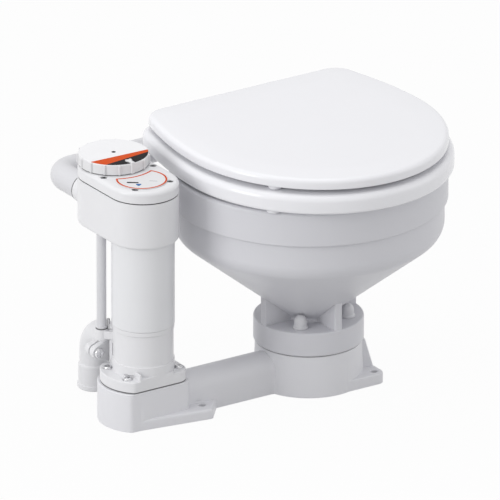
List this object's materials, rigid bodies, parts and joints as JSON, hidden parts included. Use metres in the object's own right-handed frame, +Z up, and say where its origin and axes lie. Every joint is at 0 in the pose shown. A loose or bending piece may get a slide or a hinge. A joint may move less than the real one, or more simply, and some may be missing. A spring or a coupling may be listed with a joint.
{
  "type": "electric marine toilet",
  "caption": "Low marine toilet: a round bowl with seat and lid on a moulded base, beside an upright macerator pump column with a selector knob, rinse pipe and discharge elbow",
  "frame": {"origin": "on the floor, at the middle of the pedestal's flat underside, below the bowl's axis", "axes": "+Z up, -Y towards the front of the seat, pump column at -X"},
  "size_m": [0.4745, 0.4165, 0.341],
  "materials": {
    "glazed_white": "glossy glaze",
    "gloss_white": "gloss",
    "satin_white": "satin",
    "black_rubber": "matte",
    "grey_rubber": "matte",
    "steel": "satin",
    "iron": "matte",
    "ferrite": "matte",
    "copper": "satin"
  },
  "bodies": {
    "frame": {"bowl": "glazed_white", "macerator_housing": "gloss_white", "discharge_elbow": "gloss_white", "seal_carrier": "gloss_white", "motor_casing": "gloss_white", "head_housing": "gloss_white", "head_cover": "gloss_white", "mode_plate": "gloss_white", "inlet_elbow": "gloss_white", "stud_cap_1": "gloss_white", "stud_cap_2": "gloss_white", "stud_cap_3": "gloss_white", "stud_cap_4": "gloss_white", "hinge_post_1": "gloss_white", "hinge_post_2": "gloss_white", "base_casting": "satin_white", "feed_tube": "satin_white", "supply_pipe": "satin_white", "hinge_nut_1": "satin_white", "hinge_nut_2": "satin_white", "pump_gasket": "black_rubber", "joker_valve": "black_rubber", "shaft_seal": "black_rubber", "bowl_gasket": "grey_rubber", "head_gasket": "grey_rubber", "inlet_seal": "grey_rubber", "bowl_stud_1": "steel", "bowl_stud_2": "steel", "bowl_stud_3": "steel", "bowl_stud_4": "steel", "pump_screw_1": "steel", "pump_screw_2": "steel", "pump_screw_3": "steel", "pump_screw_4": "steel", "elbow_screw_1": "steel", "elbow_screw_2": "steel", "cover_screw_1": "steel", "cover_screw_2": "steel", "cover_screw_3": "steel", "cover_screw_4": "steel", "lower_bearing": "steel", "upper_bearing": "steel", "hinge_rod": "steel", "motor_yoke": "iron", "field_magnet_1": "ferrite", "field_magnet_2": "ferrite", "brush_plate": "copper"},
    "seat": {"seat_ring": "gloss_white", "seat_bumper_1": "satin_white", "seat_bumper_2": "satin_white"},
    "lid": {"lid": "gloss_white", "lid_bumper_1": "satin_white", "lid_bumper_2": "satin_white"},
    "selector": {"selector_knob": "gloss_white", "selector_spindle": "satin_white"},
    "rotor": {"armature": "copper", "motor_shaft": "steel", "chopper_blade": "steel", "waste_impeller": "satin_white", "rinse_impeller": "black_rubber"}
  },
  "joints": [
    {"name": "seat_hinge", "type": "hinge", "parent": "frame", "child": "seat", "pos_m": [0, 0.1765, 0.3155], "axis": [-1, 0, 0], "range_deg": [0, 95]},
    {"name": "lid_hinge", "type": "hinge", "parent": "seat", "child": "lid", "pos_m": [0, 0.1765, 0.3155], "axis": [-1, 0, 0], "range_deg": [0, 95]},
    {"name": "selector_turn", "type": "hinge", "parent": "frame", "child": "selector", "pos_m": [-0.242, 0.074, 0.3183], "axis": [0, 0, 1], "range_deg": [-30, 30]},
    {"name": "rotor_spin", "type": "hinge", "parent": "frame", "child": "rotor", "pos_m": [-0.242, 0.007, 0.1278], "axis": [0, 0, 1], "continuous": true}
  ]
}
